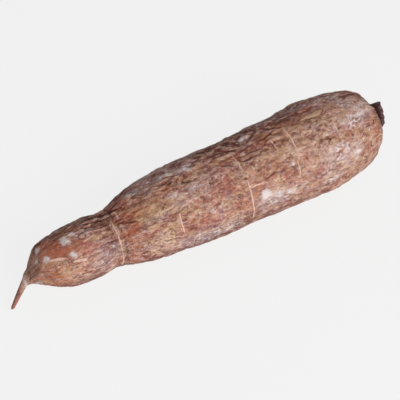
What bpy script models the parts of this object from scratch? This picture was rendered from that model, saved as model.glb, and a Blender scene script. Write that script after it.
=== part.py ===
"""Cassava root, as dug and trimmed: one grown piece that lies on its side.

The root runs along X. Its cut neck, where it was severed from the stem, points to +X, and its tail lobe, which
ends in a thin rootlet, points to -X. It rests on the flattened stretch of its underside, in the plane Z = 0.
The origin is on that plane, under the middle of the whole root.
"""

import math

import bmesh
import bpy
import numpy as np
from mathutils import Vector

MM = 0.001

# Tail lobe and main body: lengths along the root, and the diameter at the thickest ring of each.
LOBE_LENGTH = 62 * MM
LOBE_DIAMETER = 42 * MM
WAIST_DIAMETER = 38.5 * MM
BODY_LENGTH = 210 * MM
BODY_DIAMETER = 68 * MM

# Cut neck at the crown, with the rim of hard bark round its cut face.
NECK_DIAMETER = 18 * MM
NECK_LENGTH = 5 * MM
RIM_DIAMETER = 20 * MM
RIM_THICKNESS = 3 * MM

# Rootlet at the tail: it leaves the nose along the root, and sweeps sideways and down to the surface.
ROOTLET_LENGTH = 21 * MM
ROOTLET_DIAMETER = 6 * MM
ROOTLET_TIP_DIAMETER = 2.6 * MM
ROOTLET_TURN = math.radians(29)
ROOTLET_TIP_GAP = 1.1 * MM

# How the root lies: the depth cut off its underside, the height of its neck over the middle of its thickest
# ring, and the drop of its nose under the middle of the lobe.
FLAT_DEPTH = 1.4 * MM
NECK_RISE = 6 * MM
NOSE_DROP = 7.5 * MM

# Fineness of the solid. The bows are the rings that round off the rootlet's tip, in degrees.
SIDES = 36
RING_STEP = 4.5 * MM
TIP_RING_STEP = 2.5 * MM
TIP_BOWS = (35, 65)

# Outline of the tail lobe and of the main body, as (share of its own length, share of its own diameter).
# The lobe starts at the nose, whose size is the rootlet's, and both meet at the waist.
LOBE_OUTLINE = ((0.05, 0.35), (0.14, 0.62), (0.25, 0.80), (0.40, 0.92), (0.62, 0.985), (0.84, 0.955))
BODY_OUTLINE = (
    (0.05, 0.69),
    (0.10, 0.78),
    (0.20, 0.855),
    (0.36, 0.905),
    (0.48, 0.90),
    (0.62, 0.95),
    (0.76, 0.995),
    (0.86, 0.935),
    (0.94, 0.81),
    (0.985, 0.60),
    (1.00, 0.38),
)

# Where the middle of the root runs, as (share of the lobe's or body's length, Y, gap under that ring).
# The body's rings have no gap: they reach below the surface by the depth that is cut off.
NOSE_SIDEWAYS = 8 * MM
LOBE_LINE = ((0.20, 6 * MM, 5.5 * MM), (0.60, 4 * MM, 1.9 * MM), (1.00, 3.5 * MM, 4.8 * MM))
BODY_LINE = ((0.20, 1.8 * MM, -FLAT_DEPTH), (0.50, 0.6 * MM, -FLAT_DEPTH), (0.76, 0, -FLAT_DEPTH))
NECK_SIDEWAYS = 0.8 * MM

# Neck outline, as (share of the neck's length, share of its diameter), and the rim's taper at its cut face.
NECK_OUTLINE = ((0.25, 1.15), (0.60, 1.00))
RIM_EDGE_SHARE = 0.4
RIM_FACE_SHARE = 0.94

# Broad swellings and hollows: (share of the whole length, angle from straight up towards +Y in degrees,
# reach along the root, reach round the root in degrees, height).
SWELLINGS = (
    (0.66, 40, 20 * MM, 50, 0.6 * MM),
    (0.50, 100, 30 * MM, 60, 1.2 * MM),
    (0.72, -80, 28 * MM, 50, 0.6 * MM),
    (0.38, -60, 26 * MM, 45, 0.6 * MM),
    (0.84, 20, 24 * MM, 60, 0.3 * MM),
    (0.45, -20, 34 * MM, 40, -0.9 * MM),
    (0.73, -140, 24 * MM, 40, -0.8 * MM),
    (0.32, -140, 14 * MM, 40, -0.9 * MM),
)

BARK_COLOR = (0.29, 0.16, 0.10, 1)
BARK_ROUGHNESS = 0.75
SHARP_ANGLE = math.radians(50)


def remove_startup_objects():
    for startup_object in list(bpy.data.objects):
        bpy.data.objects.remove(startup_object)


def smooth_curve(points, step):
    """Points about `step` apart on a centripetal Catmull-Rom curve, whose place is the first two values."""
    points = np.array(points, float)
    before = 2 * points[0] - points[1]
    after = 2 * points[-1] - points[-2]
    held = np.vstack([before, points, after])
    curve = []
    for p0, p1, p2, p3 in zip(held, held[1:], held[2:], held[3:]):
        gaps = [max(np.linalg.norm((b - a)[:2]), 1e-9) ** 0.5 for a, b in ((p0, p1), (p1, p2), (p2, p3))]
        t1 = gaps[0]
        t2 = t1 + gaps[1]
        t3 = t2 + gaps[2]
        pieces = max(1, round(np.linalg.norm((p2 - p1)[:2]) / step))
        for t in np.linspace(t1, t2, pieces, endpoint=False):
            a1 = ((t1 - t) * p0 + t * p1) / t1
            a2 = ((t2 - t) * p1 + (t - t1) * p2) / (t2 - t1)
            a3 = ((t3 - t) * p2 + (t - t2) * p3) / (t3 - t2)
            b1 = ((t2 - t) * a1 + t * a2) / t2
            b2 = ((t3 - t) * a2 + (t - t1) * a3) / (t3 - t1)
            curve.append(((t2 - t) * b1 + (t - t1) * b2) / (t2 - t1))
    curve.append(points[-1])
    return curve


def body_outline():
    """(distance from the nose, radius) at each ring that shapes the lobe, the waist and the body."""
    lobe = [(share * LOBE_LENGTH, width * LOBE_DIAMETER / 2) for share, width in LOBE_OUTLINE]
    body = [
        (LOBE_LENGTH + share * BODY_LENGTH, width * BODY_DIAMETER / 2) for share, width in BODY_OUTLINE
    ]
    return [(0, ROOTLET_DIAMETER / 2), *lobe, (LOBE_LENGTH, WAIST_DIAMETER / 2), *body]


def centre_line(outline):
    """(distance from the nose, Y, height) of the line through the middle of the rings."""
    distances, radii = np.array(outline).T
    line = []
    for start, length, places in ((0, LOBE_LENGTH, LOBE_LINE), (LOBE_LENGTH, BODY_LENGTH, BODY_LINE)):
        for share, sideways, gap in places:
            distance = start + share * length
            line.append((distance, sideways, np.interp(distance, distances, radii) + gap))
    lobe_middle = line[1]
    thickest_ring = line[-1]
    nose = (0, NOSE_SIDEWAYS, lobe_middle[2] - NOSE_DROP)
    neck = (LOBE_LENGTH + BODY_LENGTH, NECK_SIDEWAYS, thickest_ring[2] + NECK_RISE)
    return [nose, *line, neck]


def along(points, distance):
    """The point of a fine curve of (distance, Y, height) at a distance from the nose, as a vector."""
    distances, sideways, heights = np.array(points).T
    return Vector((distance, np.interp(distance, distances, sideways), np.interp(distance, distances, heights)))


def swelling(share, angle):
    """How far the skin stands out, or in, at a share of the length and an angle round the root."""
    height = 0
    whole = LOBE_LENGTH + BODY_LENGTH
    for middle, turn, reach_along, reach_round, rise in SWELLINGS:
        away = (share - middle) * whole / reach_along
        turned = (math.degrees(angle) - turn + 180) % 360 - 180
        height += rise * math.exp(-(away**2) - (turned / reach_round) ** 2)
    return height


def body_rings():
    """(centre, direction, radius, share of the length) of each ring from the nose to the crown."""
    outline = body_outline()
    line = smooth_curve(centre_line(outline), RING_STEP / 4)
    whole = LOBE_LENGTH + BODY_LENGTH
    rings = []
    for distance, radius in smooth_curve(outline, RING_STEP):
        ahead = along(line, min(distance + RING_STEP, whole))
        behind = along(line, max(distance - RING_STEP, 0))
        rings.append((along(line, distance), (ahead - behind).normalized(), radius, distance / whole))
    return rings


def neck_rings(crown):
    """Rings of the cut neck, which narrows from the crown and ends in a rim round its cut face."""
    centre, direction, _, share = crown
    outline = [(height * NECK_LENGTH, width * NECK_DIAMETER) for height, width in NECK_OUTLINE]
    outline += [
        (NECK_LENGTH, (NECK_DIAMETER + RIM_DIAMETER) / 2),
        (NECK_LENGTH + RIM_EDGE_SHARE * RIM_THICKNESS, RIM_DIAMETER),
        (NECK_LENGTH + RIM_THICKNESS, RIM_FACE_SHARE * RIM_DIAMETER),
    ]
    return [(centre + direction * height, direction, width / 2, share) for height, width in outline]


def rootlet_rings(nose):
    """The point of the rootlet's rounded tip, and its rings from there to the nose."""
    centre, direction, _, _ = nose
    outward = -direction
    sideways = Vector((0, -1, 0))
    tip_height = ROOTLET_TIP_DIAMETER / 2 + ROOTLET_TIP_GAP
    drop = (centre.z - tip_height) / ROOTLET_LENGTH
    steps = round(ROOTLET_LENGTH / TIP_RING_STEP)
    place = centre.copy()
    rings = []
    for number in range(1, steps + 1):
        share = number / steps
        turn = ROOTLET_TURN * min(1, 3 * share)
        level = outward * math.cos(turn) + sideways * math.sin(turn)
        level.z = 0
        heading = level.normalized() * math.sqrt(1 - drop**2) - Vector((0, 0, drop))
        place = place + heading * (ROOTLET_LENGTH / steps)
        width = ROOTLET_DIAMETER + (ROOTLET_TIP_DIAMETER - ROOTLET_DIAMETER) * share**0.8
        rings.append((place, -heading, width / 2, 0))
    last_centre, backward, tip_radius, _ = rings[-1]
    for bow in TIP_BOWS:
        rise = math.sin(math.radians(bow)) * tip_radius
        rings.append((last_centre - backward * rise, backward, math.cos(math.radians(bow)) * tip_radius, 0))
    return last_centre - backward * tip_radius, rings[::-1]


def add_ring(mesh, ring):
    """One ring of vertices square to the centre line, starting straight up and turning towards +Y."""
    centre, direction, radius, share = ring
    sideways = Vector((0, 0, 1)).cross(direction).normalized()
    upwards = direction.cross(sideways)
    taper = min(1, radius / (LOBE_DIAMETER / 2))
    vertices = []
    for side in range(SIDES):
        angle = 2 * math.pi * side / SIDES
        reach = radius + swelling(share, angle) * taper
        offset = upwards * math.cos(angle) * reach + sideways * math.sin(angle) * reach
        vertices.append(mesh.verts.new(centre + offset))
    return vertices


def join_rings(mesh, first, second):
    for side in range(SIDES):
        after = (side + 1) % SIDES
        mesh.faces.new((first[side], first[after], second[after], second[side]))


def close_ring(mesh, ring, point):
    """A fan of triangles from a ring to a middle point."""
    middle = mesh.verts.new(point)
    for side in range(SIDES):
        mesh.faces.new((middle, ring[side], ring[(side + 1) % SIDES]))


def flatten_underside(mesh):
    """Cuts off what is below Z = 0 and closes the cut with one flat face, on which the root rests."""
    everything = mesh.verts[:] + mesh.edges[:] + mesh.faces[:]
    cut = bmesh.ops.bisect_plane(
        mesh, geom=everything, dist=1e-7, plane_co=(0, 0, 0), plane_no=(0, 0, 1), clear_inner=True
    )
    edge_of_cut = [item for item in cut["geom_cut"] if isinstance(item, bmesh.types.BMEdge)]
    bmesh.ops.holes_fill(mesh, edges=edge_of_cut, sides=0)


def bark_material():
    """Dry brown bark."""
    material = bpy.data.materials.new("cassava_bark")
    material.use_nodes = True
    shader = material.node_tree.nodes["Principled BSDF"]
    shader.inputs["Base Color"].default_value = BARK_COLOR
    shader.inputs["Roughness"].default_value = BARK_ROUGHNESS
    shader.inputs["Metallic"].default_value = 0.0
    return material


def cassava_root():
    """The whole root as one solid: rootlet, tail lobe, waist, body and cut neck."""
    body = body_rings()
    tip_point, rootlet = rootlet_rings(body[0])
    neck = neck_rings(body[-1])
    cut_face_centre = neck[-1][0]
    mesh = bmesh.new()
    loops = [add_ring(mesh, ring) for ring in [*rootlet, *body, *neck]]
    for first, second in zip(loops, loops[1:]):
        join_rings(mesh, first, second)
    close_ring(mesh, loops[0], tip_point)
    close_ring(mesh, loops[-1], cut_face_centre)
    flatten_underside(mesh)
    bmesh.ops.recalc_face_normals(mesh, faces=mesh.faces[:])

    data = bpy.data.meshes.new("cassava_root")
    mesh.to_mesh(data)
    mesh.free()
    data.shade_smooth()
    data.set_sharp_from_angle(angle=SHARP_ANGLE)
    data.materials.append(bark_material())
    root = bpy.data.objects.new("cassava_root", data)
    bpy.context.scene.collection.objects.link(root)
    corners = np.array([vertex.co for vertex in data.vertices])
    middle = (corners.min(axis=0) + corners.max(axis=0)) / 2
    root.location = (-middle[0], -middle[1], 0)
    return root


remove_startup_objects()
cassava_root()
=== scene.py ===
"""A whole, unpeeled cassava root on a pale studio floor. It is laid out as an add-on and run as a script.

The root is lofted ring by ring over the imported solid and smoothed. Then its dry skin is worked in: lumps,
folds, fissures, ring scars and the torn bark of the cut neck. Places on the skin are given as X in
millimetres and as a turn in degrees, measured from straight up towards the near side (-Y).
"""

import math

import bmesh
import bpy
import numpy as np
from bpy.props import FloatProperty, FloatVectorProperty, IntProperty, PointerProperty
from mathutils import Matrix, Vector, noise


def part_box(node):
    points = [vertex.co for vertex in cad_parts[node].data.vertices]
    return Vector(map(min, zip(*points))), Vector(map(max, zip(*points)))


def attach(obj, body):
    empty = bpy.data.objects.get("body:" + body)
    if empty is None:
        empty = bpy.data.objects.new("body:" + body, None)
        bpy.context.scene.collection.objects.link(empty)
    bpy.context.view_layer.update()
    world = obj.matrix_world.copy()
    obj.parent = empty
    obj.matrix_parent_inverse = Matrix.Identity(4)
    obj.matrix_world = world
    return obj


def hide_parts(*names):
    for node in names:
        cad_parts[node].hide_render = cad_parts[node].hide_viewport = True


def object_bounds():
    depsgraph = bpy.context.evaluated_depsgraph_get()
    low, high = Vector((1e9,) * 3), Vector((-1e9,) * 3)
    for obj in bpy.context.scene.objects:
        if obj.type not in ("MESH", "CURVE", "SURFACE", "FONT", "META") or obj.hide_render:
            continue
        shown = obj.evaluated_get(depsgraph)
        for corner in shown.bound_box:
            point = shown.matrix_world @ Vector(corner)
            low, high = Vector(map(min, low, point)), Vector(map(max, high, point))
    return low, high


bl_info = {
    "name": "Cassava root",
    "version": (1, 0, 0),
    "blender": (4, 5, 0),
    "location": "View3D > Sidebar > Cassava",
    "description": "Builds a whole unpeeled cassava root around its packed solid",
    "category": "Add Mesh",
}

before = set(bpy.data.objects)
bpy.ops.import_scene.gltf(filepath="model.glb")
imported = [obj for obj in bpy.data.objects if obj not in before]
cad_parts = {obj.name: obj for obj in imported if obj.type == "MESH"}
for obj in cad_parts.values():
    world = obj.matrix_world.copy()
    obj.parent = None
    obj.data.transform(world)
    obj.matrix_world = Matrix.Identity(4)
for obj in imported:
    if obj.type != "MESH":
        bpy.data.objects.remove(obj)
CAD_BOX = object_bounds()
NODE = "cassava_root"
MM = 0.001


def srgb(code):
    """The linear colour of an sRGB hex value such as "#AF8A70"."""
    values = [int(code[i : i + 2], 16) / 255 for i in (1, 3, 5)]
    return tuple(v / 12.92 if v <= 0.04045 else ((v + 0.055) / 1.055) ** 2.4 for v in values)


# ---- Settings ----


def length(name, description, default):
    return FloatProperty(name=name, description=description, default=default, unit="LENGTH", precision=5)


def rotation(name, description, degrees):
    return FloatProperty(name=name, description=description, default=math.radians(degrees), unit="ROTATION")


def quantity(name, description, default):
    return FloatProperty(name=name, description=description, default=default, min=0)


def colour(name, description, code):
    return FloatVectorProperty(
        name=name, description=description, default=srgb(code), subtype="COLOR", size=3, min=0, max=1
    )


class CassavaSkinSettings(bpy.types.PropertyGroup):
    """Sizes of the root's mesh and of the relief of its skin."""

    sides: IntProperty(name="Sides", description="Sides of each ring of the first loft", default=30, min=12)
    body_rings: IntProperty(
        name="Body rings", description="Rings along the lobe and the body", default=26, min=8
    )
    lump_height: length("Lumps", "Height of the broad lumps", 1.1 * MM)
    fold_height: length("Folds", "Height of the folds that run along the root", 1.15 * MM)
    lip_height: length("Lips", "Height of the lifted edge beside an open fold", 0.5 * MM)
    wrinkle_height: length("Wrinkles", "Height of the smaller wrinkles", 0.75 * MM)
    dent_height: length("Dents", "Depth of the soft dents between the folds", 0.45 * MM)
    grit_height: length("Grit", "Height of the roughness between the wrinkles", 0.16 * MM)
    crack_depth: length("Cracks", "Depth of the long dry cracks", 1.0 * MM)
    scar_height: length("Ring scars", "How far the ring scars stand out", 0.3 * MM)
    scar_width: length("Scar width", "Width of a ring scar", 1.5 * MM)
    crack_width: length("Crack width", "Width of a dry crack", 1.7 * MM)


class CassavaBarkSettings(bpy.types.PropertyGroup):
    """Colours of the dry bark and of the cut wood."""

    tan: colour("Tan bark", "Dry papery outer bark", "#C4917A")
    brown: colour("Brown bark", "Bark with soil rubbed into it", "#9B5B48")
    olive: colour("Olive bark", "Yellowish corky bark", "#C7A078")
    rose: colour("Rose bark", "Pinkish brown inner bark", "#B06452")
    amber: colour("Amber bark", "Warm bark, rubbed smooth", "#BB7C55")
    rust: colour("Rust", "Fresh bark, where the outer layer has come off", "#B25B36")
    plum: colour("Plum grey", "Thin weathered film", "#927078")
    haze: colour("Haze", "Greyish film, dried onto the bark", "#BA9F9F")
    pale: colour("Pale bark", "Sun-dried, lighter bark", "#E6C4B2")
    # Also used as painted shade: in the hollows, along the flakes' edges and along the upper and lower edges
    # of the root.
    soil_and_shade: colour("Soil", "Damp soil worked into the bark", "#632B1E")
    crack: colour("Cracks", "Shade in the cracks", "#451D14")
    scar: colour("Ring scar", "Corky line round the root", "#E6BFAB")
    chalk: colour("Scuff", "Whitish inner skin where the bark is rubbed off", "#EADFDD")
    cork: colour("Neck bark", "Dark bark of the cut neck", "#654646")
    wood: colour("Cut wood", "Dried cut face of the neck", "#CDB596")
    core: colour("Wood core", "Darker middle of the cut face", "#94704F")


class CassavaStageSettings(bpy.types.PropertyGroup):
    """Camera, lights and floor."""

    camera_turn: rotation("Camera turn", "Turn of the camera round the root", -31)
    camera_rise: rotation("Camera rise", "Height of the camera as an angle", 45)
    camera_distance: length("Camera distance", "From the camera to the root's middle", 842 * MM)
    camera_lens: quantity("Lens", "Focal length in millimetres", 110)
    aim_across: length("Aim across", "How far right of the root's middle the camera looks", -3.5 * MM)
    aim_up: length("Aim up", "How far above the root's middle the camera looks", -5.0 * MM)
    key_turn: rotation("Key turn", "Turn of the main softbox round the root", 8)
    key_rise: rotation("Key rise", "Height of the main softbox as an angle", 30)
    key_distance: length("Key distance", "From the main softbox to the root's middle", 1600 * MM)
    key_size: length("Key size", "Side of the main softbox", 900 * MM)
    key_power: quantity("Key power", "Power of the main softbox in watts", 18.4)
    fill_turn: rotation("Fill turn", "Turn of the overhead softbox round the root", 60)
    fill_rise: rotation("Fill rise", "Height of the overhead softbox as an angle", 70)
    fill_distance: length("Fill distance", "From the overhead softbox to the root's middle", 1100 * MM)
    fill_size: length("Fill size", "Side of the overhead softbox", 800 * MM)
    fill_power: quantity("Fill power", "Power of the overhead softbox in watts", 1.0)
    room_light: quantity("Room light", "Strength of the even room light", 0.25)
    floor: colour("Floor", "Pale floor", "#F2F2F2")


# ---- Small helpers ----


def deselect_all():
    bpy.ops.object.select_all(action="DESELECT")


def make_active(piece):
    deselect_all()
    piece.select_set(True)
    bpy.context.view_layer.objects.active = piece


def apply_modifier(piece, kind, **settings):
    """Adds a modifier with its settings and applies it."""
    make_active(piece)
    modifier = piece.modifiers.new(kind.lower(), kind)
    for name, value in settings.items():
        setattr(modifier, name, value)
    bpy.ops.object.modifier_apply(modifier=modifier.name)


def mesh_array(items, name, width, kind=np.float64):
    """One property of all vertices, edges or normals as an array."""
    values = np.empty(len(items) * width, kind)
    items.foreach_get(name, values)
    return values.reshape(-1, width) if width > 1 else values


def bell(distance):
    """1 at distance 0, falling smoothly to nothing at about 2."""
    return np.exp(-(distance**2))


def ramp(values, start, end):
    """0 up to start, 1 from end on, smooth between them."""
    share = np.clip((values - start) / (end - start), 0, 1)
    return share * share * (3 - 2 * share)


def add_node(tree, kind, settings=None, inputs=None):
    """Adds a node to a tree with its own options, and sets or links its inputs."""
    node = tree.nodes.new(kind)
    for name, value in (settings or {}).items():
        setattr(node, name, value)
    for name, value in (inputs or {}).items():
        if isinstance(value, bpy.types.NodeSocket):
            tree.links.new(value, node.inputs[name])
        else:
            node.inputs[name].default_value = value
    return node


# ---- The root's smooth shape ----

# Places of the first rings, as shares of the root's length from the rootlet's tip: the rootlet, the nose
# where the lobe swells from it, and the crown. The body's rings are spread evenly between nose and crown.
ROOTLET_SHARES = (0.0012, 0.004, 0.011, 0.022, 0.036, 0.049)
NOSE_SHARES = (0.0585, 0.064, 0.072, 0.084, 0.102)
BODY_START = 0.125
BODY_END = 0.915
CROWN_SHARES = (0.932, 0.948, 0.960, 0.968)

# Rings of the neck, as (distance back from the cut face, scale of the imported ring), and the rings of the
# cut face, as shares of its radius.
NECK_RINGS = ((5.6 * MM, 0.94), (4.2 * MM, 0.92), (2.6 * MM, 0.98), (1.0 * MM, 1.02), (0.1 * MM, 1.0))
FACE_SHARES = (0.80, 0.45, 0.15)

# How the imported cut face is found: near the solid's right end, looking along X, flat to within a hair.
FACE_ZONE = 2 * MM
FACE_SLOPE = 0.95
FLATNESS = 0.01 * MM

# Which faces of the skin are cut wood: those this near to the middle of the cut face and to its plane.
CUT_FACE_REACH = 8.4 * MM
CUT_FACE_DEPTH = 0.3 * MM

# How near the solid's corners are merged, how far the rootlet's tip bulges as a share of its radius, how
# far out the coarse skin is wrapped, and how many times it is then subdivided.
MERGE_DISTANCE = 0.001 * MM
TIP_BULGE = 0.45
SKIN_GAP = 0.25 * MM
SMOOTH_LEVELS = 3


def merged_solid():
    """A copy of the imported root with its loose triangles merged. It is removed once the skin is wrapped."""
    deselect_all()
    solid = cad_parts[NODE].copy()
    solid.data = solid.data.copy()
    solid.name = "measuring_solid"
    solid.parent = None
    bpy.context.scene.collection.objects.link(solid)
    make_active(solid)
    bpy.ops.object.mode_set(mode="EDIT")
    bpy.ops.mesh.select_all(action="SELECT")
    bpy.ops.mesh.remove_doubles(threshold=MERGE_DISTANCE)
    bpy.ops.object.mode_set(mode="OBJECT")
    return solid


def section(solid, point, heading):
    """Where the solid's edges cross the plane through a point, square to a heading."""
    corners = mesh_array(solid.data.vertices, "co", 3)
    ends = corners[mesh_array(solid.data.edges, "vertices", 2, np.int32)]
    depths = (ends - point) @ heading
    crossing = depths[:, 0] * depths[:, 1] < 0
    depths = depths[crossing]
    ends = ends[crossing]
    share = (depths[:, 0] / (depths[:, 0] - depths[:, 1]))[:, None]
    points = ends[:, 0] + share * (ends[:, 1] - ends[:, 0])
    return points


def middle_of(points):
    return (points.min(axis=0) + points.max(axis=0)) / 2


def cut_face(solid):
    """The middle of the neck's cut face and the direction in which it looks."""
    polygons = solid.data.polygons
    centres = mesh_array(polygons, "center", 3)
    normals = mesh_array(polygons, "normal", 3)
    areas = mesh_array(polygons, "area", 1)
    near_end = centres[:, 0] > centres[:, 0].max() - FACE_ZONE
    facing = near_end & (normals[:, 0] > FACE_SLOPE)
    heading = (normals[facing] * areas[facing, None]).sum(axis=0)
    heading /= np.linalg.norm(heading)
    corners = mesh_array(solid.data.vertices, "co", 3)
    depth = corners @ heading
    on_face = corners[depth > depth.max() - FLATNESS]
    return middle_of(on_face), heading


def ring_places(solid, settings):
    """(middle, heading, radius) of each ring of the loft, from the rootlet's tip to the cut face."""
    low, high = (np.array(corner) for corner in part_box(NODE))
    body_shares = np.linspace(BODY_START, BODY_END, settings.body_rings)
    shares = [*ROOTLET_SHARES, *NOSE_SHARES, *body_shares, *CROWN_SHARES]
    along_x = np.array((1.0, 0.0, 0.0))
    middles = []
    for share in shares:
        place = np.array((low[0] + share * (high[0] - low[0]), 0, 0))
        middles.append(middle_of(section(solid, place, along_x)))
    middles = np.array(middles)
    headings = np.gradient(middles, axis=0)
    headings /= np.linalg.norm(headings, axis=1)[:, None]
    rings = []
    for middle, heading in zip(middles, headings):
        radius = np.linalg.norm(section(solid, middle, heading) - middle, axis=1).mean()
        rings.append((middle, heading, radius))
    face, heading = cut_face(solid)
    for back, scale in NECK_RINGS:
        middle = face - back * heading
        radius = np.linalg.norm(section(solid, middle, heading) - middle, axis=1)
        rings.append((middle, heading, scale * np.median(radius)))
    face_radius = rings[-1][2]
    rings += [(face, heading, share * face_radius) for share in FACE_SHARES]
    return rings


def ring_axes(heading):
    """The directions of a ring's turn 0, which is up, and of its quarter turn, towards the near side."""
    side = np.cross(heading, (0, 0, 1))
    side /= np.linalg.norm(side)
    return np.cross(side, heading), side


def add_ring(place, sides):
    """Adds a circle in edit mode, with its first side straight up."""
    middle, heading, radius = place
    up, side = ring_axes(heading)
    turned = Matrix((up, side, heading)).transposed()
    bpy.ops.mesh.primitive_circle_add(
        vertices=sides, radius=radius, fill_type="NOTHING", location=middle, rotation=turned.to_euler()
    )


def select_vertices(mesh, wanted):
    """Selects only these vertices of the mesh in edit mode."""
    bpy.ops.mesh.select_all(action="DESELECT")
    edited = bmesh.from_edit_mesh(mesh)
    edited.verts.ensure_lookup_table()
    for index in wanted:
        edited.verts[index].select = True
    edited.select_flush(True)
    bmesh.update_edit_mesh(mesh)


def close_end(mesh, ring, sides, move):
    """Fills a ring, pokes the fill to a fan and moves its middle point."""
    select_vertices(mesh, range(ring * sides, (ring + 1) * sides))
    bpy.ops.mesh.edge_face_add()
    bpy.ops.mesh.poke()
    edited = bmesh.from_edit_mesh(mesh)
    edited.verts.ensure_lookup_table()
    select_vertices(mesh, [len(edited.verts) - 1])
    bpy.ops.transform.translate(value=move)


def loft(places, sides):
    """The first coarse skin: rings bridged one to the next, with both ends closed."""
    deselect_all()
    add_ring(places[0], sides)
    skin = bpy.context.object
    skin.name = "cassava_skin"
    make_active(skin)
    bpy.ops.object.transform_apply(location=True, rotation=True, scale=True)
    bpy.ops.object.mode_set(mode="EDIT")
    bpy.ops.mesh.select_mode(type="VERT")
    for number, place in enumerate(places[1:], start=1):
        bpy.ops.mesh.select_all(action="DESELECT")
        add_ring(place, sides)
        select_vertices(skin.data, range((number - 1) * sides, (number + 1) * sides))
        bpy.ops.mesh.bridge_edge_loops()
    tip_middle, tip_heading, tip_radius = places[0]
    close_end(skin.data, 0, sides, -tip_heading * tip_radius * TIP_BULGE)
    close_end(skin.data, len(places) - 1, sides, (0, 0, 0))
    bpy.ops.mesh.select_all(action="SELECT")
    bpy.ops.mesh.normals_make_consistent(inside=False)
    bpy.ops.object.mode_set(mode="OBJECT")
    return skin


def write_places(skin, places, sides):
    """Writes on each vertex how far along the root it is, which way round, and how thick the root is."""
    corners = mesh_array(skin.data.vertices, "co", 3)
    middles = np.array([place[0] for place in places])
    radii = np.array([place[2] for place in places])
    steps = np.linalg.norm(np.diff(middles, axis=0), axis=1)
    along = np.concatenate([[0], np.cumsum(np.hypot(steps, np.diff(radii)))])
    where = np.zeros((len(corners), 3))
    girth = np.zeros(len(corners))
    for number, (middle, heading, radius) in enumerate(places):
        ring = slice(number * sides, (number + 1) * sides)
        up, side = ring_axes(heading)
        out = corners[ring] - middle
        reach = np.hypot(out @ up, out @ side)
        where[ring] = np.stack([np.full(sides, along[number]), out @ up / reach, out @ side / reach], axis=1)
        girth[ring] = radius
    where[-2:, 0] = along[0], along[-1]
    girth[-2:] = radii[0], radii[-1]
    skin.data.attributes.new("where", "FLOAT_VECTOR", "POINT").data.foreach_set("vector", where.ravel())
    skin.data.attributes.new("girth", "FLOAT", "POINT").data.foreach_set("value", girth)


# ---- Places on the skin: scars, cracks, scuffs and stains ----

# Corky scars that run round the root, as (X in mm, first turn, last turn, strength).
RING_SCARS = (
    (-73, 8, 125, 1.0),
    (-68, -6, 13, 0.9),
    (-32, 49, 79, 1.0),
    (-43, 150, 215, 0.7),
    (21, 4, 30, 0.9),
    (21, 44, 104, 1.0),
    (20, 165, 262, 0.8),
    (39.5, 54, 68, 0.5),
    (50, 8, 27, 0.8),
    (62.5, -4, 41, 1.0),
    (59.5, 46, 65, 0.9),
    (61, 140, 205, 0.7),
    (85, 46, 64, 0.5),
    (95.5, 20, 37, 0.7),
    (99, 190, 275, 0.8),
    (-8, 225, 300, 0.8),
    (-103, 170, 265, 0.6),
    (46, 245, 320, 0.7),
)

# Creases that run round the root, as the scars above.
RING_CREASES = (
    (-69.8, 10, 150, 0.35),
    (-71, -75, 8, 0.6),
    (-66, 24, 56, 0.3),
    (-118, 44, 66, 0.35),
    (137.5, -180, 180, 0.6),
)

# Pale ridges that run along the root, as (X and turn of one end, X and turn of the other, strength).
PALE_RIDGES = (
    (-43, 37, -32, 35, 0.8),
    (21, 56, 33, 53, 0.9),
    (-122, 31, -109, 43, 1.0),
    (-121, 34, -111, 45.5, 1.0),
    (-108, 52, -96, 54, 1.0),
    (-105, 55, -97, 58, 1.0),
    (-97, 28, -86, 20, 0.6),
    (20, -8, 38, -2, 0.6),
    (74, 84, 96, 92, 0.5),
    (30, 200, 44, 206, 0.8),
    (-60, 250, -48, 244, 0.8),
)

# Dark cracks that run along the root, as (X and turn of one end, X and turn of the other, strength).
CRACKS = (
    (17, -8, 36, -2, 1.0),
    (24, 3, 44, 1, 0.6),
    (38, 2, 60, -4, 0.7),
    (49, -15, 64, -4, 0.9),
    (21, 10, 44, 12, 0.5),
    (20, 17, 40, 20, 0.5),
    (-72, 20, -56, 37, 0.6),
    (-80, -26, -64, -8, 1.0),
    (-92, -14, -73, 0, 0.8),
    (-94, -2, -75, 8, 0.7),
    (-88, -22, -74, -14, 0.8),
    (-90, 8, -74, 15, 0.6),
    (-32, -12, -14, -2, 0.6),
    (-12, -6, 4, -18, 0.6),
    (2, 4, 20, 26, 0.5),
    (4, -12, 20, -8, 0.6),
    (68, -16, 92, -10, 0.6),
    (66, 2, 88, 6, 0.4),
    (33, 51, 53, 50, 0.4),
    (-30, 8, -12, 14, 0.45),
    (-50, 4, -30, 10, 0.4),
    (-30, 190, 0, 200, 0.9),
    (50, 230, 84, 222, 0.9),
    (-96, 225, -74, 214, 0.9),
    (8, 265, 36, 274, 0.9),
    (-66, 300, -40, 292, 0.8),
    (90, 290, 118, 300, 0.7),
)

# Round knots with a dark crease about them, as (X in mm, turn, radius in mm, strength).
KNOTS = (
    (-95, 13, 2.6, 0.5),
    (-90, 5, 1.8, 0.4),
    (84, 218, 3.4, 0.7),
    (-22, 258, 2.8, 0.6),
)

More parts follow.
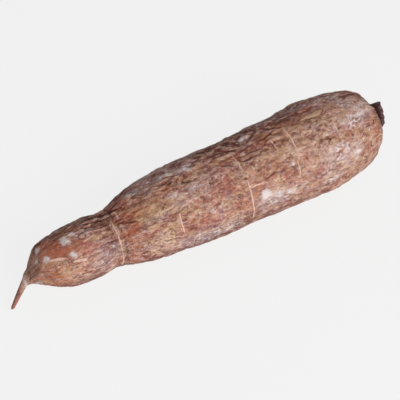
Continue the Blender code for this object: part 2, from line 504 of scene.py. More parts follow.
# Whitish scuffs, as (X in mm, turn, length in mm, width in mm, strength).
SCUFFS = (
    (32, 73, 8, 8, 1.0),
    (41, 78, 12, 7, 0.55),
    (51, 83, 10, 5, 0.5),
    (-106, 7, 6, 9, 0.85),
    (-101, 1, 6, 3, 0.7),
    (-105, 40, 4, 5, 0.85),
    (-123.5, -20, 5, 5, 0.8),
    (-121.5, 27, 4.5, 4.5, 0.8),
    (-128.5, 4, 3, 4, 0.7),
    (-136, 30, 1.8, 11, 0.6),
    (-135.5, 100, 1.8, 8, 0.6),
    (-136, -40, 1.6, 6, 0.5),
    (-129, 112, 4, 3, 0.8),
    (-54, -16, 5, 4, 0.75),
    (-30, -14, 9, 2, 0.45),
    (-12, -4, 5, 5, 0.8),
    (-15, 26, 10, 3, 0.4),
    (-32, 36, 6, 3, 0.45),
    (34, -14, 4, 4, 0.8),
    (116, 26, 14, 3.5, 0.6),
    (107, 69, 6, 3, 0.8),
    (56, 49, 2.4, 3.6, 0.75),
    (40, 38, 4, 3, 0.4),
    (85, 92, 8, 3, 0.55),
    (102, -34, 7, 3, 0.6),
    (84, 62, 7, 4, 0.35),
    (-78, 57, 2, 2, 0.8),
    (-87, 54, 2, 1.6, 0.6),
    (-84, 66, 1.8, 1.6, 0.4),
    (-100, 90, 3, 2, 0.5),
    (-36, 210, 9, 5, 0.8),
    (30, 240, 7, 6, 0.8),
    (76, 205, 10, 4, 0.7),
    (-108, 200, 6, 5, 0.8),
    (112, 250, 8, 4, 0.7),
    (4, 300, 7, 4, 0.6),
)

# Broad stains of each kind, as (X in mm, turn, reach in mm along the root, reach in degrees, strength).
STAINS = {
    "rust": (
        (-121, 0, 6, 44, 0.7),
        (-112, 14, 9, 26, 0.9),
        (-119, 84, 6, 34, 0.6),
        (-128, 10, 5, 70, 0.55),
        (-146, 0, 6, 180, 0.7),
        (-84, 2, 10, 18, 0.35),
        (-65, 36, 6, 50, 1.0),
        (-64, 104, 6, 24, 0.6),
        (-62, -14, 7, 16, 1.0),
        (-52, 10, 10, 16, 0.5),
        (126, 50, 6, 16, 0.6),
        (-100, 70, 8, 10, 0.3),
        (-20, 2, 8, 8, 0.4),
        (-90, 210, 16, 30, 0.7),
        (30, 275, 18, 16, 0.5),
    ),
    "plum": (
        (-84, 74, 9, 26, 0.9),
        (-77, 64, 5, 22, 0.8),
        (-80, 40, 5, 14, 0.6),
        (-77, -8, 6, 24, 0.35),
        (40, 98, 16, 14, 0.5),
        (-94, 108, 10, 14, 0.8),
        (-20, 33, 14, 9, 0.3),
        (0, 20, 8, 10, 0.5),
        (-14, 98, 26, 16, 0.9),
        (18, 28, 4, 12, 0.5),
        (-28, -22, 26, 10, 0.6),
        (14, -24, 22, 12, 0.6),
        (86, 62, 18, 22, 0.25),
        (72, 96, 14, 8, 0.4),
        (112, 34, 12, 14, 0.2),
        (-90, 8, 9, 10, 0.4),
        (120, 95, 10, 14, 0.4),
        (-10, 240, 34, 30, 0.6),
        (90, 200, 24, 22, 0.5),
    ),
    "pale": (
        (98, 66, 12, 14, 0.7),
        (124, 20, 8, 24, 0.7),
        # Lighter on the blunt nose face, which the lamps barely reach: painted light.
        (-127, 5, 5, 50, 0.4),
        (78, 34, 10, 12, 0.7),
        (-50, 6, 9, 8, 0.6),
        (86, 82, 14, 10, 0.5),
        (78, 54, 14, 24, 0.6),
        (120, 30, 8, 16, 0.7),
        (-10, 24, 14, 16, 0.7),
        # A pale band at the rootlet's base: painted highlight.
        (-137, 50, 3, 60, 0.8),
        (62, 34, 12, 16, 0.5),
        (44, 82, 20, 14, 0.5),
        (104, 20, 18, 20, 0.5),
        (-50, 82, 14, 16, 0.4),
        (-104, 84, 12, 20, 0.5),
        (78, 20, 14, 14, 0.4),
        (60, 220, 30, 40, 0.5),
        (-60, 190, 20, 20, 0.4),
    ),
    "olive": (
        (-46, 26, 14, 22, 0.9),
        (-42, 60, 12, 16, 0.7),
        (-22, 56, 10, 12, 0.6),
        (-16, 14, 8, 8, 0.7),
        (32, 34, 10, 12, 0.7),
        (54, 34, 12, 20, 0.7),
        (-110, 82, 9, 26, 0.5),
        (-127, 10, 5, 50, 0.8),
        (-118, 98, 9, 28, 0.9),
        (84, 28, 14, 16, 0.6),
        (78, 48, 10, 14, 0.7),
        (119, 56, 9, 14, 0.7),
        (-6, 92, 16, 10, 0.5),
        (12, 84, 10, 10, 0.6),
        (-56, 30, 10, 16, 0.7),
        (62, 102, 14, 12, 0.5),
        (104, 92, 14, 16, 0.6),
        (102, 46, 10, 10, 0.4),
        (-30, 200, 20, 24, 0.6),
        (70, 250, 20, 24, 0.6),
    ),
    "rose": (
        (0, -20, 150, 26, 0.6),
        (-96, 38, 9, 12, 1.0),
        (6, 36, 14, 26, 0.9),
        (-2, 70, 18, 14, 0.6),
        (34, 6, 22, 12, 0.9),
        (70, -6, 20, 10, 0.6),
        (-60, 60, 7, 20, 0.6),
        (30, 62, 6, 8, 0.5),
        (112, 6, 12, 12, 0.4),
        (20, 215, 20, 24, 0.6),
        (-70, 250, 14, 24, 0.7),
    ),
    # Soil, and painted shade: the long rows at turns -46 and -38 darken the upper edge, the rows from turn
    # 106 to 160 the lower edge and the underside, and the row at X -78 the crease at the waist.
    "soil_and_shade": (
        (-78, -28, 10, 24, 1.0),
        (-110, -40, 18, 12, 0.4),
        (0, -46, 150, 12, 0.5),
        (34, -38, 48, 12, 0.8),
        (-94, -22, 12, 12, 0.8),
        (12, -20, 26, 14, 0.95),
        (54, -26, 32, 14, 0.95),
        (110, -18, 10, 8, 0.8),
        (-12, -24, 14, 10, 0.5),
        (134, 2, 5, 26, 1.0),
        (135, 50, 4, 80, 0.6),
        (30, -6, 16, 8, 1.0),
        (-76, 4, 5, 26, 0.7),
        (-76, 60, 4, 14, 0.5),
        (-2, -13, 10, 8, 0.4),
        (-66, 32, 4, 14, 0.5),
        (-20, 122, 110, 18, 1.0),
        (-16, 112, 34, 10, 1.0),
        (14, 106, 12, 12, 0.9),
        (10, 160, 120, 24, 0.35),
        (85, 97, 5, 5, 0.6),
    ),
    "amber": (
        (-122, 14, 8, 34, 1.0),
        (-126, 0, 5, 50, 1.0),
        (-116, 88, 13, 34, 0.8),
        (-76, 6, 10, 22, 0.6),
        (-58, 8, 10, 24, 0.9),
        (-46, -10, 10, 14, 0.6),
        (-38, 8, 12, 12, 0.6),
        (-14, 4, 8, 8, 0.6),
        (60, 14, 18, 22, 0.6),
        (36, 44, 10, 10, 0.5),
        (20, 66, 12, 10, 0.5),
        (50, 42, 8, 8, 0.4),
        (112, 76, 14, 20, 0.4),
        (-20, 200, 30, 30, 0.6),
        (60, 262, 24, 24, 0.6),
    ),
    "sleek": (
        (-118, 4, 8, 36, 0.9),
        (-100, 28, 12, 16, 1.0),
        (-112, 26, 10, 18, 0.8),
        (-64, 40, 5, 40, 0.5),
        (8, 50, 8, 10, 0.5),
        (44, 40, 8, 9, 0.6),
        (62, 215, 14, 20, 0.6),
        (-112, 240, 12, 26, 0.6),
    ),
    "frost": (
        (-30, -13, 22, 12, 0.8),
        (-20, -42, 24, 10, 0.9),
        (46, -44, 10, 8, 0.8),
        (-50, -18, 8, 8, 0.7),
        (-32, 22, 5, 5, 0.8),
        (-96, 8, 6, 8, 0.8),
        (-26, 26, 10, 6, 0.6),
        (44, 84, 14, 10, 0.8),
        (84, 92, 8, 7, 0.8),
        (110, 28, 12, 8, 0.9),
        (94, 32, 8, 6, 0.6),
        (92, 60, 12, 9, 0.9),
        (70, -30, 22, 9, 0.3),
        (116, 2, 12, 8, 0.6),
        (104, -16, 16, 10, 0.5),
        (122, 14, 10, 20, 0.6),
        (106, 68, 8, 8, 0.7),
        (88, -24, 12, 7, 0.6),
        (35, -15, 4, 5, 0.8),
        (-14, 98, 22, 8, 0.7),
        (0, 60, 12, 12, 0.3),
        (-84, 74, 10, 20, 0.5),
        (100, 70, 20, 16, 0.4),
        (20, 240, 30, 20, 0.6),
        (-60, 215, 24, 16, 0.6),
    ),
}


# How far a scuff reaches from its middle, as a share of its length and width. Then, for scuffs and for
# stains, how ragged the edge is, and where it starts to fade and is gone, as shares of its reach.
SCUFF_REACH = 0.6
SCUFF_RAGGED = 0.38
SCUFF_EDGE = (0.3, 1.3)
STAIN_RAGGED = 0.55
STAIN_EDGE = (0.45, 1.45)

# Grains of the seeded noise, as (length in mm, width in mm, octaves, seed). Each kind of stain has a seed
# of its own, counted from STAIN_SEED.
SWAY_GRAIN = (10, 10, 2, 31)
FRAY_GRAIN = (5, 4, 3, 32)
SCUFF_GRAIN = (2.4, 2.2, 2, 41)
STAIN_GRAIN = (13, 8, 3)
STAIN_SEED = 51
LUMP_GRAIN = (34, 19, 2, 1)
FOLD_GRAIN = (34, 5.6, 2, 2)
OPENING_GRAIN = (20, 9, 2, 3)
WRINKLE_GRAIN = (12, 3.0, 2, 4)
LEFT_SLANT_GRAIN = (11, 3.4, 2, 6)
RIGHT_SLANT_GRAIN = (11, 3.8, 2, 7)
DENT_GRAIN = (7.5, 5.5, 2, 8)
CALM_GRAIN = (22, 16, 2, 9)
GRIT_GRAIN = (2.4, 1.9, 2, 5)
NECK_RIB_GRAIN = (12, 4.5, 2, 61)
NECK_TEAR_GRAIN = (40, 9.0, 3, 62)
NECK_TIP_GRAIN = (40, 8.0, 2, 63)


class SkinMap:
    """Where each vertex of the smooth skin is on the root, and the noise that is read from there."""

    # A pattern keeps its size round a root of this radius, and narrows with a thinner one at this power.
    REFERENCE_RADIUS = 28 * MM
    NARROWING = 0.35

    # Lengthwise patterns wander by up to about this much, over about this length.
    DRIFT = 3.6 * MM
    DRIFT_LENGTH = 15 * MM
    DRIFT_SEED = 6

    SEED_STEP = Vector((17.3, -5.1, 9.7))

    def __init__(self, skin):
        where = mesh_array(skin.data.attributes["where"].data, "vector", 3)
        self.co = mesh_array(skin.data.vertices, "co", 3)
        self.normal = mesh_array(skin.data.vertices, "normal", 3)
        self.edges = mesh_array(skin.data.edges, "vertices", 2, np.int32)
        self.girth = mesh_array(skin.data.attributes["girth"].data, "value", 1)
        self.x = self.co[:, 0] / MM
        self.along = where[:, 0]
        reach = np.maximum(np.hypot(where[:, 1], where[:, 2]), 1e-6)
        round_it = where[:, 1:] / reach[:, None]
        self.turn = np.degrees(np.arctan2(round_it[:, 1], round_it[:, 0]))
        spread_radius = self.REFERENCE_RADIUS * (self.girth / self.REFERENCE_RADIUS) ** self.NARROWING
        self.spread = np.column_stack([self.along, round_it * spread_radius[:, None]])
        noise.seed_set(self.DRIFT_SEED)
        drift = np.array([noise.noise_vector(Vector(point) / self.DRIFT_LENGTH) for point in self.spread])
        self.drifted = self.spread + drift * self.DRIFT

    def turned(self, turn):
        """Degrees from a turn, between -180 and 180."""
        return (self.turn - turn + 180) % 360 - 180

    def slanted(self, slope):
        """The drifted coordinates with their lengthwise lines wound round the root at this slope."""
        angle = slope * self.along / self.REFERENCE_RADIUS
        along, first, second = self.drifted.T
        turned_first = first * np.cos(angle) - second * np.sin(angle)
        turned_second = first * np.sin(angle) + second * np.cos(angle)
        return np.column_stack([along, turned_first, turned_second])

    def grain(self, length_mm, width_mm, octaves, seed, points=None):
        """Seeded noise with features this long along the root and this wide round it, about -1 to 1."""
        points = self.drifted if points is None else points
        scaled = points / (np.array((length_mm, width_mm, width_mm)) * MM)
        shift = self.SEED_STEP * seed
        return np.array([noise.fractal(Vector(point) + shift, 1.0, 2.0, octaves) for point in scaled])

    def blurred(self, values, times):
        """The values averaged with their neighbours this many times."""
        first, second = self.edges.T
        count = np.bincount(self.edges.ravel(), minlength=len(values)) + 1
        for _ in range(times):
            total = values + np.bincount(first, values[second], len(values))
            total += np.bincount(second, values[first], len(values))
            values = total / count
        return values


class Lines:
    """Thin lines over the skin: each vertex's signed distance from the nearest one, and its strength."""

    # A line's strength fades from the first distance on and is nothing at the second.
    FADING = 1.4 * MM
    REACH = 2.0 * MM

    def __init__(self, skin_map):
        self.skin_map = skin_map
        self.away = np.full(len(skin_map.co), self.REACH)
        self.strength = np.zeros(len(skin_map.co))

    def add(self, away, strength):
        strength = strength * (1 - ramp(np.abs(away), self.FADING, self.REACH))
        nearer = (strength > 0.01) & (np.abs(away) < np.abs(self.away))
        self.away[nearer] = away[nearer]
        self.strength[nearer] = strength[nearer]

    def add_rings(self, rows, sway, fray):
        """Lines round the root, each a little out of true and frayed."""
        for place, first, last, strength in rows:
            half = (last - first) / 2
            from_middle = np.abs(self.skin_map.turned((first + last) / 2))
            ends = 1 if half == 180 else 1 - ramp(from_middle, half - 3, half + 2)
            self.add((self.skin_map.x - place) * MM + sway, ends * fray * strength)

    def add_runs(self, rows, sway):
        """Lines along the root, each a little out of true and fading at its ends."""
        for x1, turn1, x2, turn2, strength in rows:
            share = (self.skin_map.x - x1) / (x2 - x1)
            turn = turn1 + share * (turn2 - turn1)
            away = np.radians(self.skin_map.turned(turn)) * self.skin_map.girth + sway
            ends = ramp(share, 0, 0.2) * (1 - ramp(share, 0.8, 1))
            self.add(away, ends * strength)

    def add_knots(self, rows, sway):
        for place, turn, radius, strength in rows:
            across = np.radians(self.skin_map.turned(turn)) * self.skin_map.girth
            from_middle = np.hypot((self.skin_map.x - place) * MM, across)
            self.add(from_middle + sway - radius * MM, np.full(len(across), strength))

    def profile(self, width):
        """1 on a line, falling to nothing at about this distance from it."""
        return bell(2 * self.away / width) * self.strength


def scuff_marks(skin_map):
    """How strongly each vertex belongs to a whitish scuff, with a ragged edge."""
    ragged = skin_map.grain(*SCUFF_GRAIN, skin_map.spread)
    marks = np.zeros(len(skin_map.x))
    for place, turn, long, wide, strength in SCUFFS:
        along = (skin_map.x - place) / (SCUFF_REACH * long)
        across = np.radians(skin_map.turned(turn)) * skin_map.girth / (SCUFF_REACH * wide * MM)
        edge = np.hypot(along, across) + SCUFF_RAGGED * ragged
        marks = np.maximum(marks, strength * (1 - ramp(edge, *SCUFF_EDGE)))
    return marks


def stain_marks(skin_map):
    """How strongly each vertex is stained in each way."""
    marks = {}
    for seed, (kind, rows) in enumerate(STAINS.items(), start=STAIN_SEED):
        ragged = skin_map.grain(*STAIN_GRAIN, seed)
        marks[kind] = np.zeros(len(skin_map.x))
        for place, turn, reach, spread, strength in rows:
            away = np.hypot((skin_map.x - place) / reach, skin_map.turned(turn) / spread)
            inside = 1 - ramp(away + STAIN_RAGGED * ragged, *STAIN_EDGE)
            marks[kind] = np.maximum(marks[kind], strength * inside)
    return marks


# ---- The relief of the skin ----

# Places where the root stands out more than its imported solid, or less, as (X in mm, turn, reach in mm,
# reach in degrees, height in mm).
SWELLINGS = (
    (-122, -42, 6, 26, 1.0),
    (-83, -45, 9, 26, 0.7),
    (90, -55, 14, 26, 0.9),
    (134, -60, 8, 36, 1.5),
    (-12, 118, 22, 22, 0.8),
    (-105, 116, 14, 20, 0.6),
    (130, 100, 9, 30, 0.3),
    (-76, 116, 5, 34, -0.8),
    (-64, 112, 5, 34, 0.8),
    (-66, 50, 5, 30, 0.4),
)

# How far the rootlet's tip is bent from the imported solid, over how much of its length, and how sharply.
ROOTLET_BEND = (-1.0 * MM, -3.0 * MM, 0.0)
ROOTLET_REACH = 17 * MM
ROOTLET_CURVE = 1.3

# The blunt face beside the rootlet: its outward direction, how far out it lies, how softly it turns into
# the lobe, and the share of what stands past it that is pressed in. It keeps to the nose: to X under
# NOSE_END in mm, to where the root is thicker than its rootlet, and to the upper side, about NOSE_TURN.
NOSE_FACE = (-0.89, 0.10, 0.44)
NOSE_FACE_DEPTH = 124.9 * MM
NOSE_FACE_ROUNDING = 1.2 * MM
NOSE_FLATNESS = 0.92
NOSE_END = -100
NOSE_GIRTH = (5.5 * MM, 9 * MM)
NOSE_TURN = -30
NOSE_SPREAD = (78, 112)

# How the cut neck leans: the axis it turns about, the angle, and how far back from the cut face the lean
# starts and is complete.
NECK_LEAN_AXIS = (-0.36, -0.61, 0.71)
NECK_LEAN = math.radians(-18)
NECK_ROOT = 7.5 * MM
NECK_LEANT = 0.3 * NECK_ROOT

# The cut neck, by distances back from its cut face: where it ends, the groove behind its rim, the shade
# in that groove, and the flare of its torn rim.
NECK_END = (6.4 * MM, 7.6 * MM)
NECK_RIB_HEIGHT = 0.6 * MM
GROOVE_PLACE = 5.4 * MM
GROOVE_WIDTH = 1.5 * MM
GROOVE_DEPTH = 1.4 * MM
GROOVE_SHADE_PLACE = 4.8 * MM
GROOVE_SHADE_WIDTH = 2.2 * MM
FLARE = (0.4 * MM, 3.6 * MM)
FLARE_HEIGHT = 0.3 * MM
TEAR_HEIGHT = 0.7 * MM

# How the rim's edge stands forward: ragged all round, with one sharp corner and one broken stretch, as
# (turn, reach in degrees, height).
RIM_DEPTH = (0.3 * MM, 3.0 * MM)
RIM_GIRTH = (7.6 * MM, 9.2 * MM)
RIM_RAGGED = 0.6 * MM
RIM_CORNERS = ((-48, 24, 2.0 * MM), (125, 48, -1.2 * MM))

# How wrinkled the skin is: evenly, and how much more or less so in some places, as (X in mm, reach in mm,
# turn, reach in degrees, how much more). They are the upper side, the far side, the waist, the folds over
# the middle, the lobe's smooth top and the crown.
EVEN_ROUGHNESS = 0.40
ROUGH_PLACES = (
    (0, math.inf, -24, 36, 0.75),
    (0, math.inf, 215, 70, 0.35),
    (-78, 13, -12, 60, 0.5),
    (38, 26, 4, 24, 0.35),
    (-110, 14, 18, 40, -0.7),
    (112, 34, -20, 44, -0.4),
)
MOST_ROUGH = 1.3

# A fold's crease runs where the folds' noise is 0. It is open where that noise changes little over this
# stretch of the root, and where the noise of the openings is high. One side of it has a lifted lip.
FOLD_STRETCH = 2.5 * MM
FOLD_TURNING = (0.05, 0.24)
FOLD_OPENING = (-0.25, 0.3)
CREASE_ROUNDING = 0.15
LIP_EDGE = 0.08
LIP_WIDTH = 0.3

# What is taken off the folds and the wrinkles, so that they stand in and out of the smooth skin alike, how
# much they count, and how steeply the slanting wrinkles wind to the left and to the right.
FOLD_MIDDLE = 0.3
FOLD_SHARE = 1.6
WRINKLE_MIDDLE = 0.5
SLANT_SHARE = 0.7
LEFT_SLANT = 0.45
RIGHT_SLANT = -0.4

# How strong the wrinkles are on smooth skin, how much stronger on rough skin, their least share in calm
# stretches, and the least share of the whole relief, on the thin rootlet.
SMOOTH_WRINKLES = 0.4
ROUGH_WRINKLES = 0.7
CALM_WRINKLES = 0.4
CALM_EDGE = (-0.3, 0.25)
SLIM_RELIEF = 0.16
SLIM_GIRTH = (1 * MM, 26 * MM)

# How far the lines on the skin sway, and how hollows are told, for the soil and shade painted into them and
# the
# highlight painted on the rises: the height is smoothed this many times, and a full hollow lies this deep
# under it.
SWAY = 1.1 * MM
FRAY_EDGE = (-0.4, 0.1)
HOLLOW_BLUR = 12
HOLLOW_DEPTH = 0.4 * MM

# What the skin's colour attributes carry, four shares each.
MASKS = {
    "marks": ("crack", "scar", "scuff", "neck"),
    "stains": ("rust", "plum", "pale", "olive"),
    "shades": ("rose", "soil_and_shade", "opened", "relief_soil_and_shading"),
    "wear": ("amber", "sleek", "frost", "groove"),
}


def roughness_of_skin(skin_map):
    """How wrinkled each place is: most on the upper side and at the waist, least on top of the lobe."""
    rough = np.full(len(skin_map.x), EVEN_ROUGHNESS)
    for place, reach, turn, spread, more in ROUGH_PLACES:
        rough += more * bell((skin_map.x - place) / reach) * bell(skin_map.turned(turn) / spread)
    return np.clip(rough, 0, MOST_ROUGH)


def folds_of_skin(skin_map, settings, rough):
    """(height of the folds, their noise, how open each crease is) on each vertex."""
    folds = skin_map.grain(*FOLD_GRAIN)
    ahead = skin_map.grain(*FOLD_GRAIN, skin_map.drifted + (FOLD_STRETCH, 0, 0))
    straight = 1 - ramp(np.abs(ahead - folds), *FOLD_TURNING)
    opened = ramp(skin_map.grain(*OPENING_GRAIN), *FOLD_OPENING) * straight * np.clip(rough, 0, 1)
    pillows = np.sqrt(folds**2 + CREASE_ROUNDING**2)
    lips = ramp(folds, -LIP_EDGE, LIP_EDGE) * np.exp(-np.maximum(folds, 0) / LIP_WIDTH)
    height = settings.fold_height * rough * (pillows - FOLD_MIDDLE) * FOLD_SHARE
    return height + settings.lip_height * opened * lips, folds, opened


def wrinkles_of_skin(skin_map, settings, rough):
    """Height of the wrinkles, some along the root and some winding round it to the left and to the right."""
    wrinkles = np.abs(skin_map.grain(*WRINKLE_GRAIN))
    slants = np.abs(skin_map.grain(*LEFT_SLANT_GRAIN, skin_map.slanted(LEFT_SLANT)))
    slants += np.abs(skin_map.grain(*RIGHT_SLANT_GRAIN, skin_map.slanted(RIGHT_SLANT)))
    lively = ramp(skin_map.grain(*CALM_GRAIN, skin_map.spread), *CALM_EDGE)
    share = (CALM_WRINKLES + (1 - CALM_WRINKLES) * lively) * (SMOOTH_WRINKLES + ROUGH_WRINKLES * rough)
    return settings.wrinkle_height * share * (wrinkles + SLANT_SHARE * slants - WRINKLE_MIDDLE)


def relief(skin_map, settings, cracks, scars):
    """(height of the whole relief, the folds' noise, how open each crease is) on each vertex."""
    rough = roughness_of_skin(skin_map)
    height, folds, opened = folds_of_skin(skin_map, settings, rough)
    height += wrinkles_of_skin(skin_map, settings, rough)
    height += settings.lump_height * skin_map.grain(*LUMP_GRAIN, skin_map.spread)
    height += settings.dent_height * skin_map.grain(*DENT_GRAIN, skin_map.spread)
    height += settings.grit_height * skin_map.grain(*GRIT_GRAIN, skin_map.spread)
    height -= settings.crack_depth * cracks.profile(settings.crack_width)
    height += settings.scar_height * scars.profile(settings.scar_width)
    slim = SLIM_RELIEF + (1 - SLIM_RELIEF) * ramp(skin_map.girth, *SLIM_GIRTH)
    return height * slim, folds, opened


def swelling(skin_map):
    """How far the skin is pushed out at the swellings."""
    height = np.zeros(len(skin_map.x))
    for place, turn, reach, spread, mm in SWELLINGS:
        away = np.hypot((skin_map.x - place) / reach, skin_map.turned(turn) / spread)
        height += mm * MM * bell(away)
    return height


def neck_relief(skin_map, back):
    """(how much each vertex belongs to the neck, its height there): a groove, then a torn, flared rim."""
    neck = 1 - ramp(back, *NECK_END)
    ribs = skin_map.grain(*NECK_RIB_GRAIN, skin_map.spread)
    torn = skin_map.grain(*NECK_TEAR_GRAIN, skin_map.spread)
    groove = bell((back - GROOVE_PLACE) / GROOVE_WIDTH)
    flare = 1 - ramp(back, *FLARE)
    height = NECK_RIB_HEIGHT * ribs - GROOVE_DEPTH * groove + flare * (FLARE_HEIGHT + TEAR_HEIGHT * torn)
    return neck, height


def neck_tip(skin_map, back):
    """How far the neck's torn rim stands forward of its cut face."""
    rim = (1 - ramp(back, *RIM_DEPTH)) * ramp(skin_map.girth, *RIM_GIRTH)
    forward = RIM_RAGGED * skin_map.grain(*NECK_TIP_GRAIN, skin_map.spread)
    for turn, spread, height in RIM_CORNERS:
        forward += height * bell(skin_map.turned(turn) / spread)
    return rim * forward


def bend_rootlet(co):
    """Bends the rootlet a little towards the near side, more and more to its tip."""
    share = np.clip((CAD_BOX[0][0] + ROOTLET_REACH - co[:, 0]) / ROOTLET_REACH, 0, 1)
    return co + share[:, None] ** ROOTLET_CURVE * np.array(ROOTLET_BEND)


def press_nose(skin_map, co):
    """Flattens the blunt face into the nose, beside the rootlet."""
    direction = np.array(NOSE_FACE) / np.linalg.norm(NOSE_FACE)
    over = np.maximum(co @ direction - NOSE_FACE_DEPTH, 0)
    over = over**2 / (over + NOSE_FACE_ROUNDING)
    on_nose = ramp(skin_map.girth, *NOSE_GIRTH) * (skin_map.x < NOSE_END)
    on_nose *= 1 - ramp(np.abs(skin_map.turned(NOSE_TURN)), *NOSE_SPREAD)
    return co - (over * on_nose * NOSE_FLATNESS)[:, None] * direction


def lean_neck(co, back, face, heading):
    """Leans the cut neck over, more and more from its root to its cut face."""
    axis = np.array(NECK_LEAN_AXIS) / np.linalg.norm(NECK_LEAN_AXIS)
    pivot = face - NECK_ROOT * heading
    angle = (NECK_LEAN * ramp(back, NECK_ROOT, NECK_LEANT))[:, None]
    arm = co - pivot
    turned = arm * np.cos(angle) + np.cross(axis, arm) * np.sin(angle)
    turned += axis * (arm @ axis)[:, None] * (1 - np.cos(angle))
    return pivot + turned


def keep_on_floor(co):
    """Nothing goes below the surface that the root lies on."""
    kept = co.copy()
    kept[:, 2] = np.maximum(kept[:, 2], CAD_BOX[0][2])
    return kept


def write_vectors(mesh, name, values):
    mesh.attributes.new(name, "FLOAT_VECTOR", "POINT").data.foreach_set("vector", np.ravel(values))


def write_shares(mesh, name, columns):
    """Writes four values from 0 to 1 on each vertex as one colour attribute."""
    shares = np.clip(np.column_stack(columns), 0, 1)
    mesh.attributes.new(name, "FLOAT_COLOR", "POINT").data.foreach_set("color", shares.ravel())


def mark_cut_face(skin, face, heading):
    """Gives the faces of the neck's cut end the second material, the cut wood."""
    polygons = skin.data.polygons
    arms = mesh_array(polygons, "center", 3) - face
    depth = arms @ heading
    reach = np.linalg.norm(arms - depth[:, None] * heading, axis=1)
    on_face = (np.abs(depth) < CUT_FACE_DEPTH) & (reach < CUT_FACE_REACH)
    polygons.foreach_set("material_index", on_face.astype(np.int32))


def work_skin(skin, settings, face, heading):
    """Moves every vertex of the smooth skin to its place on the dry, wrinkled bark, and marks what it is."""
    skin_map = SkinMap(skin)
    sway = SWAY * skin_map.grain(*SWAY_GRAIN, skin_map.spread)
    fray = 0.5 + 0.5 * ramp(skin_map.grain(*FRAY_GRAIN, skin_map.spread), *FRAY_EDGE)
    scars = Lines(skin_map)
    scars.add_rings(RING_SCARS, 0.5 * sway, fray)
    scars.add_runs(PALE_RIDGES, sway)
    cracks = Lines(skin_map)
    cracks.add_rings(RING_CREASES, sway, fray)
    cracks.add_runs(CRACKS, 1.6 * sway)
    cracks.add_knots(KNOTS, 1.5 * sway)

    height, folds, opened = relief(skin_map, settings, cracks, scars)
    back = (face - skin_map.co) @ heading
    neck, neck_height = neck_relief(skin_map, back)
    height = height * (1 - neck) + neck_height * neck + swelling(skin_map)
    co = press_nose(skin_map, skin_map.co + skin_map.normal * height[:, None])
    co += (neck * neck_tip(skin_map, back))[:, None] * heading
    co = keep_on_floor(lean_neck(bend_rootlet(co), back, face, heading))
    skin.data.vertices.foreach_set("co", co.ravel())
    skin.data.update()

    write_vectors(skin.data, "spread", skin_map.spread)
    write_vectors(skin.data, "lines", np.column_stack([scars.away / MM, cracks.away / MM, folds]))
    body = 1 - neck
    # How far each vertex lies in a hollow. The bark is painted darker there in the soil colour, as soil and
    # painted shade, and lighter on the rises as a painted highlight.
    relief_soil_and_shading = np.clip((skin_map.blurred(height, HOLLOW_BLUR) - height) / HOLLOW_DEPTH, -1, 1)
    masks = stain_marks(skin_map)
    masks["frost"] *= body
    masks["crack"] = cracks.strength * body
    masks["scar"] = scars.strength * body
    masks["scuff"] = scuff_marks(skin_map) * body
    masks["neck"] = neck
    masks["opened"] = opened * body
    masks["relief_soil_and_shading"] = 0.5 + 0.5 * relief_soil_and_shading
    masks["groove"] = neck * bell((back - GROOVE_SHADE_PLACE) / GROOVE_SHADE_WIDTH)
    for name, kinds in MASKS.items():
        write_shares(skin.data, name, [masks[kind] for kind in kinds])
    for name in ("where", "girth"):
        skin.data.attributes.remove(skin.data.attributes[name])


# ---- Materials ----

# Patterns on the bark, as (length in mm along the root, width in mm round it, detail, seed, roughness,
# curl). The finest are drawn a little coarser than real cork fibres, so that they show.
PATTERNS = {
    "patches": (18, 11, 3.0, 3.1, 0.5, 0.0),
    "blotches": (7, 5, 4.0, 7.3, 0.62, 0.6),
    "olives": (11, 7.5, 3.0, 11.9, 0.52, 0.6),
    "roses": (12, 7, 3.0, 15.1, 0.52, 0.6),
    "film": (7, 5, 4.0, 19.7, 0.58, 0.6),
    "fibres": (3.4, 1.3, 3.0, 23.3, 0.55, 0.5),
    "threads": (1.2, 3.4, 3.0, 27.9, 0.55, 0.5),
    "crumple": (3.8, 2.6, 3.0, 29.3, 0.58, 1.3),
    "flakes": (6, 3, 3.0, 31.1, 0.5, 1.2),
    "specks": (1.5, 1.1, 3.0, 35.7, 0.7, 0.0),
    "weathering": (19, 14, 3.0, 39.3, 0.55, 0.0),
}

# Half widths of the thin lines: two in the units of their noise, two in mm.
FLAKE_LINE = 0.03
FOLD_LINE = 0.11
SCAR_LINE = 0.7
CRACK_LINE = 0.75

